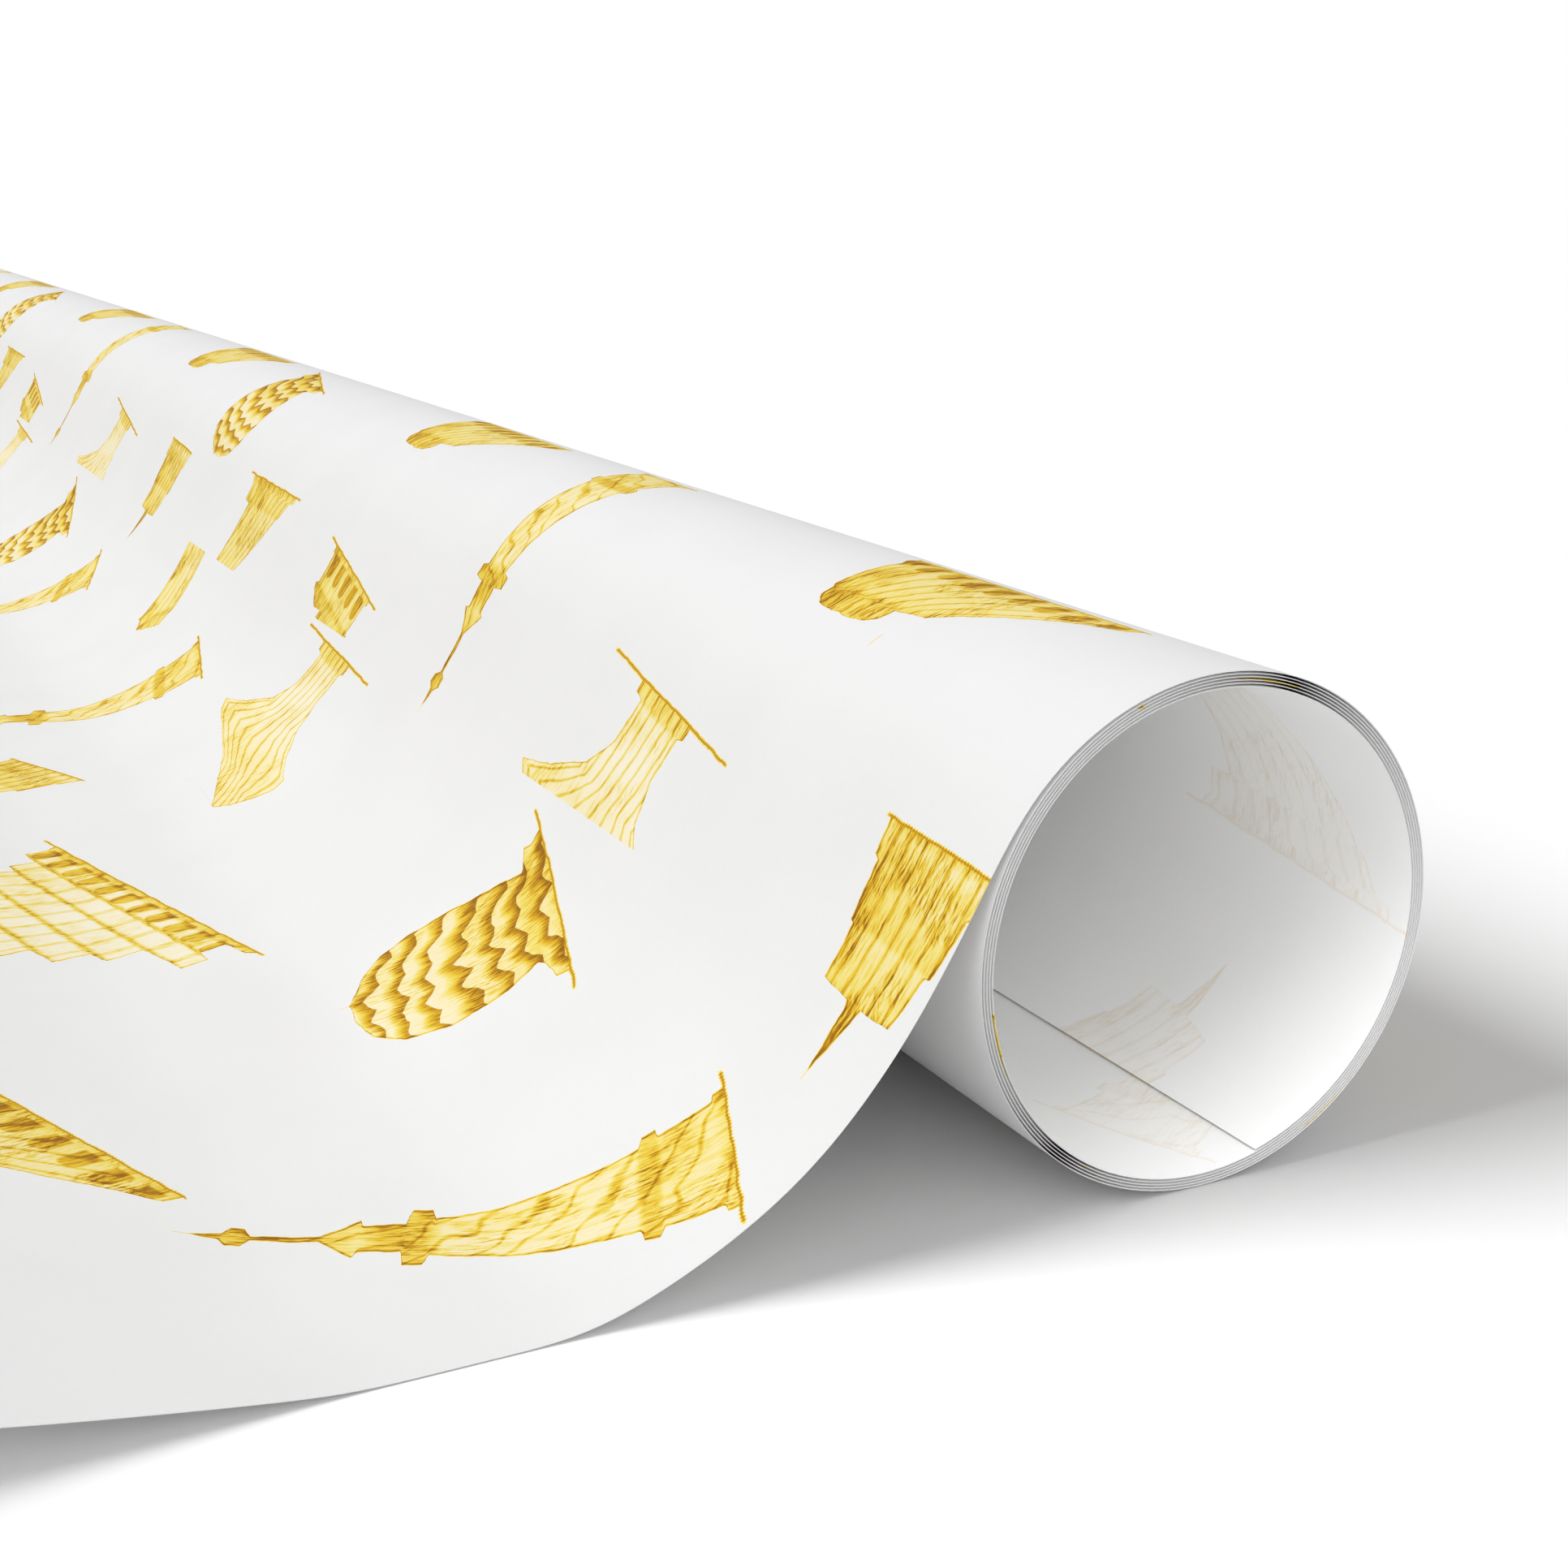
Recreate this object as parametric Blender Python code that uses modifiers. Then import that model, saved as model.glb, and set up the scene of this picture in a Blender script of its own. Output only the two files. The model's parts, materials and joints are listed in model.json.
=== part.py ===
"""A roll of gift wrap lying on a table with its outer end unrolled into a flap.

Metres, +Z up. The roll's axis is parallel to Y. Seen along +Y, the sheet's outer end is at -X:
it rises from the free edge over the flap to the crest of the roll, then winds clockwise inwards.
The whole object is one sheet of paper with no core. It is divided across the web, along lines
parallel to the axis, into the zones that can move past each other: wound turns that can slide
along the axis, and strips that bend one after the other where the sheet is free to flex.
"""

import math

import bmesh
import bpy
import numpy as np

# Driving dimensions.
SHEET_WIDTH = 0.762
PAPER = 0.00015
PITCH = 0.00026
OUTER_RADIUS = 0.0225
INNER_EDGE = 1964.0
FACET = 5.0
SEAM = 0.0003

# The wound zones, each from one travel to the next. Travel is the angle in degrees that the
# sheet has wound inwards since the crest.
TURNS = (
    ("outer_turn", 0.0, 360.0),
    ("second_turn", 360.0, 720.0),
    ("third_turn", 720.0, 1080.0),
    ("fourth_turn", 1080.0, 1440.0),
    ("fifth_turn", 1440.0, 1800.0),
    ("inner_half_turn", 1800.0, 1924.0),
)
INNER_STRIPS = (
    ("inner_edge_strip", 1924.0, 1944.0),
    ("inner_lip", 1944.0, INNER_EDGE),
)

# The flap's strips, each from one run to the next. Run is the length of sheet in millimetres
# from the crest towards the free edge.
FLAP_STRIPS = (
    ("crest_strip", 5.0, 17.0),
    ("shoulder_strip", 17.0, 29.0),
    ("upper_fall_strip", 29.0, 41.0),
    ("middle_fall_strip", 41.0, 54.0),
    ("lower_fall_strip", 54.0, 67.0),
    ("heel_strip", 67.0, 79.5),
    ("landing_strip", 79.5, 87.5),
    ("toe_strip", 87.5, 103.0),
    ("lower_tail_strip", 103.0, 119.0),
    ("middle_tail_strip", 119.0, 136.0),
    ("upper_tail_strip", 136.0, 153.0),
    ("free_edge_strip", 153.0, 170.0),
)

# The sheet's heading along the flap: (run in mm, degrees turned down from level). It follows
# the roll, falls steeply, lands level on the table and rises again in the curl of the roll.
FLAP_BEND = (
    (0, 0),
    (12, 29.5),
    (24, 59.5),
    (30, 61),
    (37, 58),
    (48, 48),
    (60, 30.5),
    (71, 19.5),
    (78, 0),
    (89, 0),
    (96, -8.5),
    (110, -10),
    (125, -13),
    (145, -17),
    (170, -22),
)
BEND_EASE = 3.0
RUN_STEP = 0.25

# The crest's height is what puts a facet at the bottom of the outer turn on the table.
FACET_COS = math.cos(math.radians(FACET / 2))
AXIS_HEIGHT = (OUTER_RADIUS - PITCH / 2 - PAPER / 2) * FACET_COS + PAPER / 2
CREST_HEIGHT = AXIS_HEIGHT + OUTER_RADIUS - PAPER / 2

PAPER_COLOUR = (0.86, 0.86, 0.85, 1.0)
BACK_COLOUR = (0.80, 0.80, 0.79, 1.0)


def turned(run, steepness):
    """Degrees that the sheet has turned down at a run, eased over a few millimetres."""
    runs, bends = np.array(FLAP_BEND, float).T
    bends = np.where(bends > 0, bends * steepness, bends)
    around = np.linspace(-BEND_EASE, BEND_EASE, 25)
    before_crest = run[:, None] + around
    on_roll = np.degrees(before_crest / 1000 / OUTER_RADIUS)
    eased = np.where(before_crest < 0, on_roll, np.interp(before_crest, runs, bends))
    return eased.mean(axis=1)


def flap_curve(steepness):
    """The flap's middle surface seen along +Y: (run in mm, x, z), with the crest at x = 0."""
    run = np.arange(0, FLAP_STRIPS[-1][2] + RUN_STEP / 2, RUN_STEP)
    angle = np.radians(turned(run[:-1] + RUN_STEP / 2, steepness))
    step = RUN_STEP / 1000
    x = np.concatenate([[0], -np.cumsum(np.cos(angle)) * step])
    z = CREST_HEIGHT - np.concatenate([[0], np.cumsum(np.sin(angle)) * step])
    return run, x, z


def strip_named(name):
    return next((start, end) for title, start, end in FLAP_STRIPS if title == name)


def landing_curve():
    """The flap whose steepness lays the landing strip on the table, found by bisection."""
    low, high = 0.9, 1.1
    landing = sum(strip_named("landing_strip")) / 2
    for _ in range(30):
        middle = (low + high) / 2
        run, x, z = flap_curve(middle)
        if np.interp(landing, run, z) > PAPER / 2:
            low = middle
        else:
            high = middle
    return flap_curve(high)


RUN, FLAP_X, FLAP_Z = landing_curve()

# The origin is under the middle of the object's box.
ROLL_X = -(FLAP_X[-1] + OUTER_RADIUS) / 2


def flap_point(run):
    return ROLL_X + np.interp(run, RUN, FLAP_X), np.interp(run, RUN, FLAP_Z)


def turn_point(travel):
    """A point of the wound sheet's middle surface: a spiral that loses one pitch a turn."""
    radius = OUTER_RADIUS - PAPER / 2 - PITCH * travel / 360
    angle = math.radians(travel)
    return ROLL_X + radius * math.sin(angle), AXIS_HEIGHT + radius * math.cos(angle)


def turn_outline(start, end):
    """Points from start to end, on the same facet lines in every turn so that turns nest.

    The outer turn starts past the crest, where the flap's first strip is hinged to it."""
    half_seam = math.degrees(SEAM / 2 / OUTER_RADIUS)
    first = math.ceil(start / FACET) * FACET + FACET / 2
    lines = [turn_point(travel) for travel in np.arange(first, end - half_seam, FACET)]
    last = turn_point(end - half_seam)
    if start > 0:
        return [turn_point(start + half_seam), *lines, last]
    hinge = FLAP_STRIPS[0][1]
    past_crest = [flap_point(run) for run in (hinge - SEAM / 2 * 1000, hinge / 2)]
    return [*past_crest, *lines, last]


def flap_outline(start, end):
    """Points from start to end. The landing strip is one flat facet, and the others bend."""
    half_seam = SEAM / 2 * 1000
    facets = 1 if (start, end) == strip_named("landing_strip") else 6
    last = end if end == FLAP_STRIPS[-1][2] else end - half_seam
    return [flap_point(run) for run in np.linspace(start + half_seam, last, facets + 1)]


def paper_material(name, colour):
    material = bpy.data.materials.new(name)
    material.use_nodes = True
    surface = material.node_tree.nodes["Principled BSDF"]
    surface.inputs["Base Color"].default_value = colour
    surface.inputs["Roughness"].default_value = 0.7
    surface.inputs["Metallic"].default_value = 0.0
    return material


def sheet_zone(name, outline, pivot, parent, material, collection):
    """One zone of the sheet: its outline swept across the web, thickened to the paper.

    The object's origin is at pivot, (x, z), on the line where it meets its parent."""
    mesh = bpy.data.meshes.new(name)
    shape = bmesh.new()
    near = [shape.verts.new((x - pivot[0], -SHEET_WIDTH / 2, z - pivot[1])) for x, z in outline]
    edges = [shape.edges.new(pair) for pair in zip(near, near[1:])]
    swept = bmesh.ops.extrude_edge_only(shape, edges=edges)["geom"]
    far = [item for item in swept if isinstance(item, bmesh.types.BMVert)]
    bmesh.ops.translate(shape, verts=far, vec=(0, SHEET_WIDTH, 0))
    bmesh.ops.recalc_face_normals(shape, faces=shape.faces)
    shape.to_mesh(mesh)
    shape.free()
    mesh.materials.append(material)
    mesh.shade_smooth()
    mesh.set_sharp_from_angle(angle=math.radians(30))
    zone = bpy.data.objects.new(name, mesh)
    collection.objects.link(zone)
    above = parent["pivot"] if parent else (0.0, 0.0)
    zone["pivot"] = pivot
    zone.parent = parent
    zone.location = (pivot[0] - above[0], 0, pivot[1] - above[1])
    paper = zone.modifiers.new("paper", "SOLIDIFY")
    paper.thickness = PAPER
    paper.offset = 0
    paper.use_even_offset = True
    return zone


def build():
    for thing in list(bpy.data.objects):
        bpy.data.objects.remove(thing, do_unlink=True)
    collection = bpy.data.collections.new("wrapping_paper_roll")
    bpy.context.scene.collection.children.link(collection)
    printed = paper_material("printed_paper", PAPER_COLOUR)
    wound = paper_material("wound_paper", BACK_COLOUR)

    axis = (ROLL_X, AXIS_HEIGHT)
    outer = None
    parent = None
    for name, start, end in TURNS:
        material = wound if outer else printed
        parent = sheet_zone(name, turn_outline(start, end), axis, parent, material, collection)
        outer = outer or parent
    for name, start, end in INNER_STRIPS:
        hinge = turn_point(start)
        parent = sheet_zone(name, turn_outline(start, end), hinge, parent, wound, collection)

    parent = outer
    for name, start, end in FLAP_STRIPS:
        outline = flap_outline(start, end)
        parent = sheet_zone(name, outline, flap_point(start), parent, printed, collection)


build()
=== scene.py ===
"""A coreless roll of printed gift wrap on a table, its outer end unrolled into a flap.

The whole object is one sheet of paper. It is shown as thin closed pieces that meet edge to edge,
each riding on one zone of the frame or bending between two neighbouring zones.
Metres, +Z up, the roll's axis along Y, the flap towards -X.
"""

import json
import math

import bpy
import numpy as np
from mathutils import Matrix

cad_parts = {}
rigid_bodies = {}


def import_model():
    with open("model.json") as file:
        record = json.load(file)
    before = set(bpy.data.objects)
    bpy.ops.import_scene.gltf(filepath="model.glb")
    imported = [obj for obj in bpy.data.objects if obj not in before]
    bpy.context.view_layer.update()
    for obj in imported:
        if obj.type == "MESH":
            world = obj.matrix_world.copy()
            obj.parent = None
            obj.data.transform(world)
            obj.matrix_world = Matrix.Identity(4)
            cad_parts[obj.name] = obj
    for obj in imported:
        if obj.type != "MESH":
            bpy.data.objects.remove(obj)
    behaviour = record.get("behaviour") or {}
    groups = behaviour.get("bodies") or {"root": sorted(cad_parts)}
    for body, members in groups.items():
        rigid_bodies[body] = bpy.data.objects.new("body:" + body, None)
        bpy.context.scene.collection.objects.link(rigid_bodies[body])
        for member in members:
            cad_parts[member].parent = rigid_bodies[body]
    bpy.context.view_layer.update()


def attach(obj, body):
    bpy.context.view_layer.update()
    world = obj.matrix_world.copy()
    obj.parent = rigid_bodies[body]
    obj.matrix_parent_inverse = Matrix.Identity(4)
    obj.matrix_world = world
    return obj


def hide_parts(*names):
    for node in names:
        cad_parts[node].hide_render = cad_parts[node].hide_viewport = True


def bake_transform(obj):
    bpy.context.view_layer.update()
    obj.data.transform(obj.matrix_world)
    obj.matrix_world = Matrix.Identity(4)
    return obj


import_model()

# ---------------------------------------------------------------- the sheet's shape, as packed

SHEET_WIDTH = 0.762
PACKED_PAPER = 0.00015
PITCH = 0.00026
OUTER_RADIUS = 0.0225
FACET_COS = math.cos(math.radians(2.5))
CREST_RADIUS = OUTER_RADIUS - PACKED_PAPER / 2
AXIS_HEIGHT = (CREST_RADIUS - PITCH / 2) * FACET_COS + PACKED_PAPER / 2
CREST_HEIGHT = AXIS_HEIGHT + CREST_RADIUS
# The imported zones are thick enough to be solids. The sheet is shown near a gift wrap's own
# thickness, which leaves the air between the turns that the roll's end shows as dark lines.
PAPER = 0.00005

# Zones of the wound sheet by travel, the degrees wound inwards since the crest.
TURNS = ("outer_turn", "second_turn", "third_turn", "fourth_turn", "fifth_turn", "inner_half_turn")
INNER_ZONES = (("inner_edge_strip", 1924.0, 1944.0), ("inner_lip", 1944.0, 1964.0))

# Zones of the flap by run, the millimetres of sheet from the crest towards the free edge.
FLAP_ZONES = (
    ("crest_strip", 5.0, 17.0),
    ("shoulder_strip", 17.0, 29.0),
    ("upper_fall_strip", 29.0, 41.0),
    ("middle_fall_strip", 41.0, 54.0),
    ("lower_fall_strip", 54.0, 67.0),
    ("heel_strip", 67.0, 79.5),
    ("landing_strip", 79.5, 87.5),
    ("toe_strip", 87.5, 103.0),
    ("lower_tail_strip", 103.0, 119.0),
    ("middle_tail_strip", 119.0, 136.0),
    ("upper_tail_strip", 136.0, 153.0),
    ("free_edge_strip", 153.0, 170.0),
)

# (run in mm, degrees turned down from level) along the flap.
FLAP_BEND = (
    (0, 0),
    (12, 29.5),
    (24, 59.5),
    (30, 61),
    (37, 58),
    (48, 48),
    (60, 30.5),
    (71, 19.5),
    (78, 0),
    (89, 0),
    (96, -8.5),
    (110, -10),
    (125, -13),
    (145, -17),
    (170, -22),
)
BEND_EASE = 3.0
# The run where the flap lies on the table, and the run of its end that is the free edge's piece.
LANDING = 83.5
FREE_EDGE = 11.0

# The travel where the bends of the inner edge begin.
INNER_BENDS = 1914.0

# The mesh's steps in mm: around the sheet, and along it where it is seen and where it is hidden.
ROW_STEP = 1.2
SEEN_STEP = 2.0
HIDDEN_STEP = 6.0


def turned(run, steepness):
    """Degrees turned down at a run: the table above, each value the mean over a few millimetres."""
    runs, bends = np.array(FLAP_BEND, float).T
    bends = np.where(bends > 0, bends * steepness, bends)
    around = run[:, None] + np.linspace(-BEND_EASE, BEND_EASE, 25)
    on_roll = np.degrees(around / 1000 / OUTER_RADIUS)
    return np.where(around < 0, on_roll, np.interp(around, runs, bends)).mean(axis=1)


def flap_curve(steepness, step=0.25):
    """(run, x, z) of the flap from the crest: the heading's cosine and sine, summed."""
    run = np.arange(0, FLAP_ZONES[-1][2] + step / 2, step)
    angle = np.radians(turned(run[:-1] + step / 2, steepness))
    x = np.concatenate([[0], -np.cumsum(np.cos(angle))]) * step / 1000
    z = CREST_HEIGHT - np.concatenate([[0], np.cumsum(np.sin(angle))]) * step / 1000
    return run, x, z


def landing_curve():
    """The flap whose steepness lays its landing on the table, by halving an interval."""
    low, high = 0.9, 1.1
    for _ in range(30):
        middle = (low + high) / 2
        run, _, z = flap_curve(middle)
        if np.interp(LANDING, run, z) > PACKED_PAPER / 2:
            low = middle
        else:
            high = middle
    return flap_curve(high)


RUN, FLAP_X, FLAP_Z = landing_curve()
ROLL_X = -(FLAP_X[-1] + OUTER_RADIUS) / 2


def wound_run(travel):
    """The run, below 0, at a travel: the arc of a radius that shrinks by one pitch a turn."""
    return -1000 * (CREST_RADIUS * travel - PITCH * travel**2 / 720) * math.pi / 180


def travel_at(run):
    """The travel at a run below 0: the other way round, by the quadratic formula."""
    arc = -run / 1000 * 180 / math.pi
    return (CREST_RADIUS - np.sqrt(CREST_RADIUS**2 - PITCH * arc / 180)) * 360 / PITCH


def sheet_points(run):
    """x and z of the sheet's middle at each run: the flap's curve, or the inward spiral."""
    travel = travel_at(np.minimum(run, 0))
    radius = CREST_RADIUS - PITCH * travel / 360
    turn = np.radians(travel)
    flap = run > 0
    x = np.where(flap, ROLL_X + np.interp(run, RUN, FLAP_X), ROLL_X + radius * np.sin(turn))
    z = np.where(flap, np.interp(run, RUN, FLAP_Z), AXIS_HEIGHT + radius * np.cos(turn))
    return x, z


def sheet_normals(run):
    """The printed side's direction: the sheet's tangent over 0.2 mm, a quarter turn outwards."""
    before, after = np.array(sheet_points(run - 0.1)), np.array(sheet_points(run + 0.1))
    along = (after - before) / np.linalg.norm(after - before, axis=0)
    return along[1], -along[0]


# ------------------------------------------------------------------------------- the drawings

# Each drawing, in millimetres above and beside the middle of its ground line:
#   outline  (height, left edge, right edge)
#   shade    (height, darkness) for sills, cornices and dark storeys
#   courses  dark wavy bands round the building
#   ribs     lines that run up it and follow its edges
#   arches   an arcade along the lowest storey
#   wash     how deep the flat wash is
#   spiral   folds that climb round it
#   ground   half the length of the ground line
DRAWINGS = {
    "beacon": {
        "outline": (
            (0, -7.4, 7.4),
            (1.2, -7.4, 7.4),
            (1.4, -6.6, 6.6),
            (6.6, -6.0, 6.0),
            (6.8, -7.0, 7.0),
            (8.2, -6.8, 6.8),
            (8.5, -5.4, 5.4),
            (14, -4.6, 4.8),
            (26, -3.0, 3.2),
            (26.3, -4.6, 4.8),
            (28, -4.6, 4.8),
            (28.3, -2.4, 2.4),
            (31.8, -2.2, 2.2),
            (32, -3.2, 3.2),
            (34.6, -0.9, 0.9),
            (35, -0.45, 0.45),
            (40.6, -0.4, 0.4),
            (41.2, -1.6, 1.6),
            (42.4, -1.7, 1.7),
            (43, -0.6, 0.6),
            (45.4, -0.05, 0.05),
        ),
        "shade": ((0, 0.5), (1.5, 0.25), (6.4, 0.3), (6.9, 0.7), (8.3, 0.6), (8.9, 0.1),
                  (25, 0.15), (26.4, 0.7), (28.2, 0.6), (30, 0.75), (31.9, 0.3), (33, 0.5),
                  (36, 0.55), (41.5, 0.75), (45, 0.5)),
        "courses": 0.0, "ribs": 0.3, "arches": 0.0, "wash": 0.24, "spiral": 0.8, "ground": 9.8,
    },
    "hive": {
        "outline": (
            (0, -13.5, 13),
            (1.6, -13, 12),
            (2.6, -9.5, 12.4),
            (3.4, -8.6, 8.6),
            (7, -10.4, 10),
            (13, -11.8, 11.4),
            (18, -11, 11),
            (21.5, -8.2, 9),
            (23.4, -4.4, 5.4),
            (24.2, -0.3, 0.3),
        ),
        "shade": ((0, 0.55), (1.6, 0.3), (3.2, 0.65), (5, 0.35), (10, 0.2), (21, 0.1), (24, 0.3)),
        "courses": 1.0, "ribs": 0.0, "arches": 0.0, "wash": 0.16, "spiral": 0.0, "ground": 17,
    },
    "rotunda": {
        "outline": (
            (0, -27, 25),
            (1.0, -26, 24.5),
            (1.2, -22, 24),
            (4.6, -22.4, 23.6),
            (4.8, -25, 20),
            (8.4, -25.6, 19.4),
            (8.7, -17.5, 17),
            (13.6, -18.4, 17.8),
            (14, -15.4, 15),
            (18.8, -16.4, 15.8),
            (19.2, -12, 12),
            (23.4, -13, 12.8),
            (23.8, -5, 5),
            (26.5, -3.6, 3.6),
            (28.5, -0.2, 0.2),
        ),
        "shade": ((0, 0.8), (1.4, 0.5), (1.8, 0.1), (3.9, 0.1), (4.6, 1.0), (5.1, 0.0), (7.9, 0.1),
                  (8.5, 1.0), (9.1, 0.0), (13, 0.1), (13.7, 1.0), (14.4, 0.0), (18.2, 0.1),
                  (18.9, 1.0), (19.6, 0.0), (22.8, 0.1), (23.5, 1.0), (24.1, 0.2)),
        "courses": 0.0, "ribs": 0.6, "arches": 1.0, "wash": 0.06, "spiral": 0.0, "ground": 28.5,
    },
    "pavilion": {
        "outline": (
            (0, -7, 7.6),
            (1.6, -6.8, 7.4),
            (1.9, -5.6, 5.6),
            (7, -5.4, 6.2),
            (11, -7.4, 9.2),
            (14.5, -13, 16.5),
            (16.6, -19.5, 23),
            (18.2, -20.4, 20),
            (21, -19, 4),
            (24, -17, -7),
            (26, -14.6, -13.8),
        ),
        "shade": ((0, 0.6), (1.8, 0.5), (2.4, 0.1), (8, 0.0), (14, 0.12), (18, 0.22), (26, 0.3)),
        "courses": 0.0, "ribs": 0.9, "arches": 0.0, "wash": 0.09, "spiral": 0.0, "ground": 17,
    },
    "kiosk": {
        "outline": (
            (0, -12, 12),
            (1, -12, 12),
            (1.2, -11, 11.2),
            (6, -10.8, 11),
            (6.2, -11.6, 11.8),
            (7, -11.4, 11.6),
            (9.6, -5, 5),
            (10.4, -0.4, 0.4),
        ),
        "shade": ((0, 0.5), (1.2, 0.3), (5.8, 0.3), (6.4, 0.7), (7.2, 0.4), (10, 0.5)),
        "courses": 0.0, "ribs": 0.35, "arches": 0.9, "wash": 0.25, "spiral": 0.0, "ground": 16,
    },
    "slab": {
        "outline": (
            (0, -5.6, 5.4),
            (21.8, -5.4, 5.2),
            (22, -4.8, 4.4),
            (25, -4.6, 2.2),
            (25.2, -0.2, 0.2),
        ),
        "shade": ((0, 0.1), (20, 0.15), (21.6, 0.5), (22.4, 0.25), (25, 0.5)),
        "courses": 0.0, "ribs": 0.6, "arches": 0.0, "wash": 0.34, "spiral": 0.0, "ground": 0,
    },
    "tower": {
        "outline": (
            (0, -14, 14),
            (1.2, -13.5, 13),
            (1.5, -11.5, 12.6),
            (4.6, -9.4, 12.4),
            (4.8, -8.6, 9.6),
            (15, -1.6, 10.6),
            (24, 1.6, 10.8),
            (24.2, 4, 8),
            (27, 5, 7),
            (27.2, 6, 6),
        ),
        "shade": ((0, 0.55), (1.5, 0.3), (4.4, 0.45), (5, 0.2), (14, 0.25), (23, 0.3), (27, 0.5)),
        "courses": 0.0, "ribs": 0.75, "arches": 0.0, "wash": 0.3, "spiral": 0.0, "ground": 16.5,
    },
    "needle": {
        "outline": (
            (0, -8.8, 8.8),
            (3.4, -8.2, 8.3),
            (3.6, -7.6, 7.6),
            (9, -6.9, 6.9),
            (9.2, -6.2, 6.3),
            (14.2, -5.6, 5.7),
            (14.4, -1.3, 1.3),
            (15.4, -0.9, 0.9),
            (20.6, -0.1, 0.1),
        ),
        "shade": ((0, 0.55), (1, 0.1), (3.2, 0.45), (3.8, 0.25), (8.8, 0.5), (9.3, 0.2),
                  (13.8, 0.4), (14.6, 0.6), (20, 0.6)),
        "courses": 0.0, "ribs": 0.8, "arches": 0.0, "wash": 0.32, "spiral": 0.0, "ground": 9.6,
    },
    "gatehouse": {
        "outline": (
            (0, -20, 20),
            (2, -19.6, 19.4),
            (3.6, -16, 17.6),
            (7.4, -9.4, 17),
            (11.6, -2, 16.6),
            (12, -1.6, 16.4),
            (12.2, 3, 16),
            (14, 3.4, 15.6),
            (15.2, 5, 14),
            (15.4, 9, 9),
        ),
        "shade": ((0, 0.5), (2, 0.35), (5, 0.2), (11, 0.35), (12.2, 0.6), (15, 0.5)),
        "courses": 0.0, "ribs": 0.7, "arches": 0.8, "wash": 0.3, "spiral": 0.0, "ground": 21,
    },
}
KINDS = tuple(DRAWINGS)

# The drawings stand side by side on a strip, one every ART_BAND metres, ART_HEIGHT tall. A curve
# or a ramp holds only 0 to 1, so it holds edges as a share of EDGE_SPAN mm around the middle and
# ground lines as a share of GROUND_SPAN mm.
ART_BAND = 0.064
ART_HEIGHT = 0.050
EDGE_SPAN = 64.0
GROUND_SPAN = 40.0

# The print repeats every TILE_ALONG mm along the roll and every TILE_RUN mm of run. Its lower
# half was laid over the upper one along a straight seam, which cuts some drawings off.
TILE_ALONG = 284.0
TILE_RUN = 225.0
TILE_SEAM = 41.3
# Enough repeats to cover the sheet, and mm of run that no drawing reaches beyond its own base.
TILES_ALONG = range(-1, 4)
TILES_RUN = range(-6, 2)
TALLEST = 60.0
# (drawing, mm from the sheet's near edge, run, degrees leaning away from that edge, the part of
# it that is kept: the whole, or what lies before the seam or beyond it)
LAYOUT = (
    ("beacon", 9.5, 56.2, 24, "whole"),
    ("hive", 61.8, 49.5, 20, "whole"),
    ("pavilion", 157.5, 42.3, 4, "whole"),
    ("kiosk", 168.5, 31.5, 11, "whole"),
    ("beacon", 205.7, 55.3, 14, "whole"),
    ("slab", 251.3, 36.0, -28, "beyond"),
    ("rotunda", 118.0, 83.5, -15, "whole"),
    ("gatehouse", 53.0, 105.0, -25, "whole"),
    ("needle", 180.5, 85.0, -24, "whole"),
    ("needle", 7.5, 27.0, 3, "whole"),
    ("pavilion", 62.0, 27.0, 9, "before"),
    ("tower", 223.0, 25.7, 1, "before"),
    ("gatehouse", 36.0, -4.0, 1, "whole"),
    ("beacon", 118.7, -3.8, 3, "whole"),
    ("gatehouse", 172.0, -4.5, 3, "whole"),
    ("hive", 262.0, 2.0, 14, "whole"),
    ("slab", 95.0, 116.0, 14, "whole"),
    ("beacon", 231.0, 98.0, -16, "whole"),
    ("kiosk", 150.0, 122.0, -9, "whole"),
    ("tower", 193.0, 118.0, 10, "whole"),
    ("beacon", 70.0, 146.0, 12, "whole"),
    ("needle", 24.0, 150.0, -12, "whole"),
    ("hive", 118.0, 152.0, -18, "whole"),
    ("pavilion", 208.0, 150.0, 8, "whole"),
    ("kiosk", 262.0, 152.0, -6, "whole"),
    ("gatehouse", 165.0, 166.0, 12, "whole"),
    ("tower", 16.0, 182.0, -8, "whole"),
    ("rotunda", 230.0, 184.0, 10, "whole"),
    ("slab", 100.0, 182.0, 20, "whole"),
)


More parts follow.
